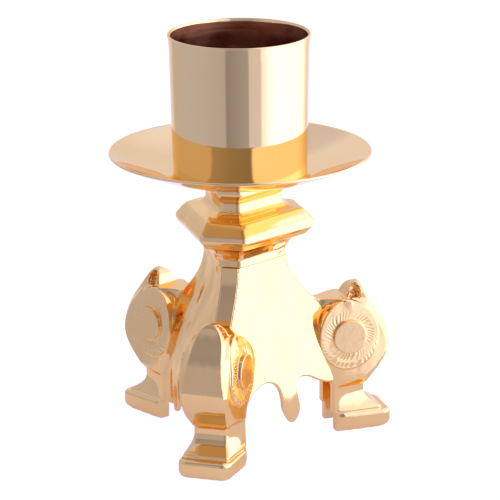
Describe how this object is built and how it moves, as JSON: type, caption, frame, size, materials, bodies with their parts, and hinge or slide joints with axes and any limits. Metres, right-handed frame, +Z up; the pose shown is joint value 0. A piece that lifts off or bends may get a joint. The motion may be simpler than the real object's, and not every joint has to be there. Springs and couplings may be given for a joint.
{
  "type": "altar candlestick",
  "caption": "Altar candlestick: an open cup for a thick candle on a dished drip pan, over a moulded collar and a hollow triangular base with scroll legs.",
  "frame": {"origin": "on the candlestick's vertical axis, in the plane that its feet stand on", "axes": "+Z up along the candlestick's axis; -Y points along the front leg; +X to the right when the front leg faces the viewer"},
  "size_m": [0.1242, 0.122, 0.18],
  "materials": {
    "polished_gold_plate": "mirror-polished pale gold plate on spun brass; the inside of the cup is left dark and unpolished",
    "cast_gold_plate": "mirror-polished pale gold plate on cast brass, with slight casting waves, pits and tool marks",
    "unpolished_brass": "dull, unpolished brass",
    "zinc_plated_steel": "zinc-plated steel"
  },
  "bodies": {
    "root": {"cup_sleeve": "polished_gold_plate", "cup_floor": "unpolished_brass", "drip_pan": "polished_gold_plate", "collar": "cast_gold_plate", "side_panel_front_right": "cast_gold_plate", "side_panel_back": "cast_gold_plate", "side_panel_front_left": "cast_gold_plate", "leg_front": "cast_gold_plate", "leg_right": "cast_gold_plate", "leg_left": "cast_gold_plate", "bridge_plate": "unpolished_brass", "tie_rod": "zinc_plated_steel", "flat_washer": "zinc_plated_steel", "lock_washer": "zinc_plated_steel", "hex_nut": "zinc_plated_steel"}
  },
  "joints": []
}
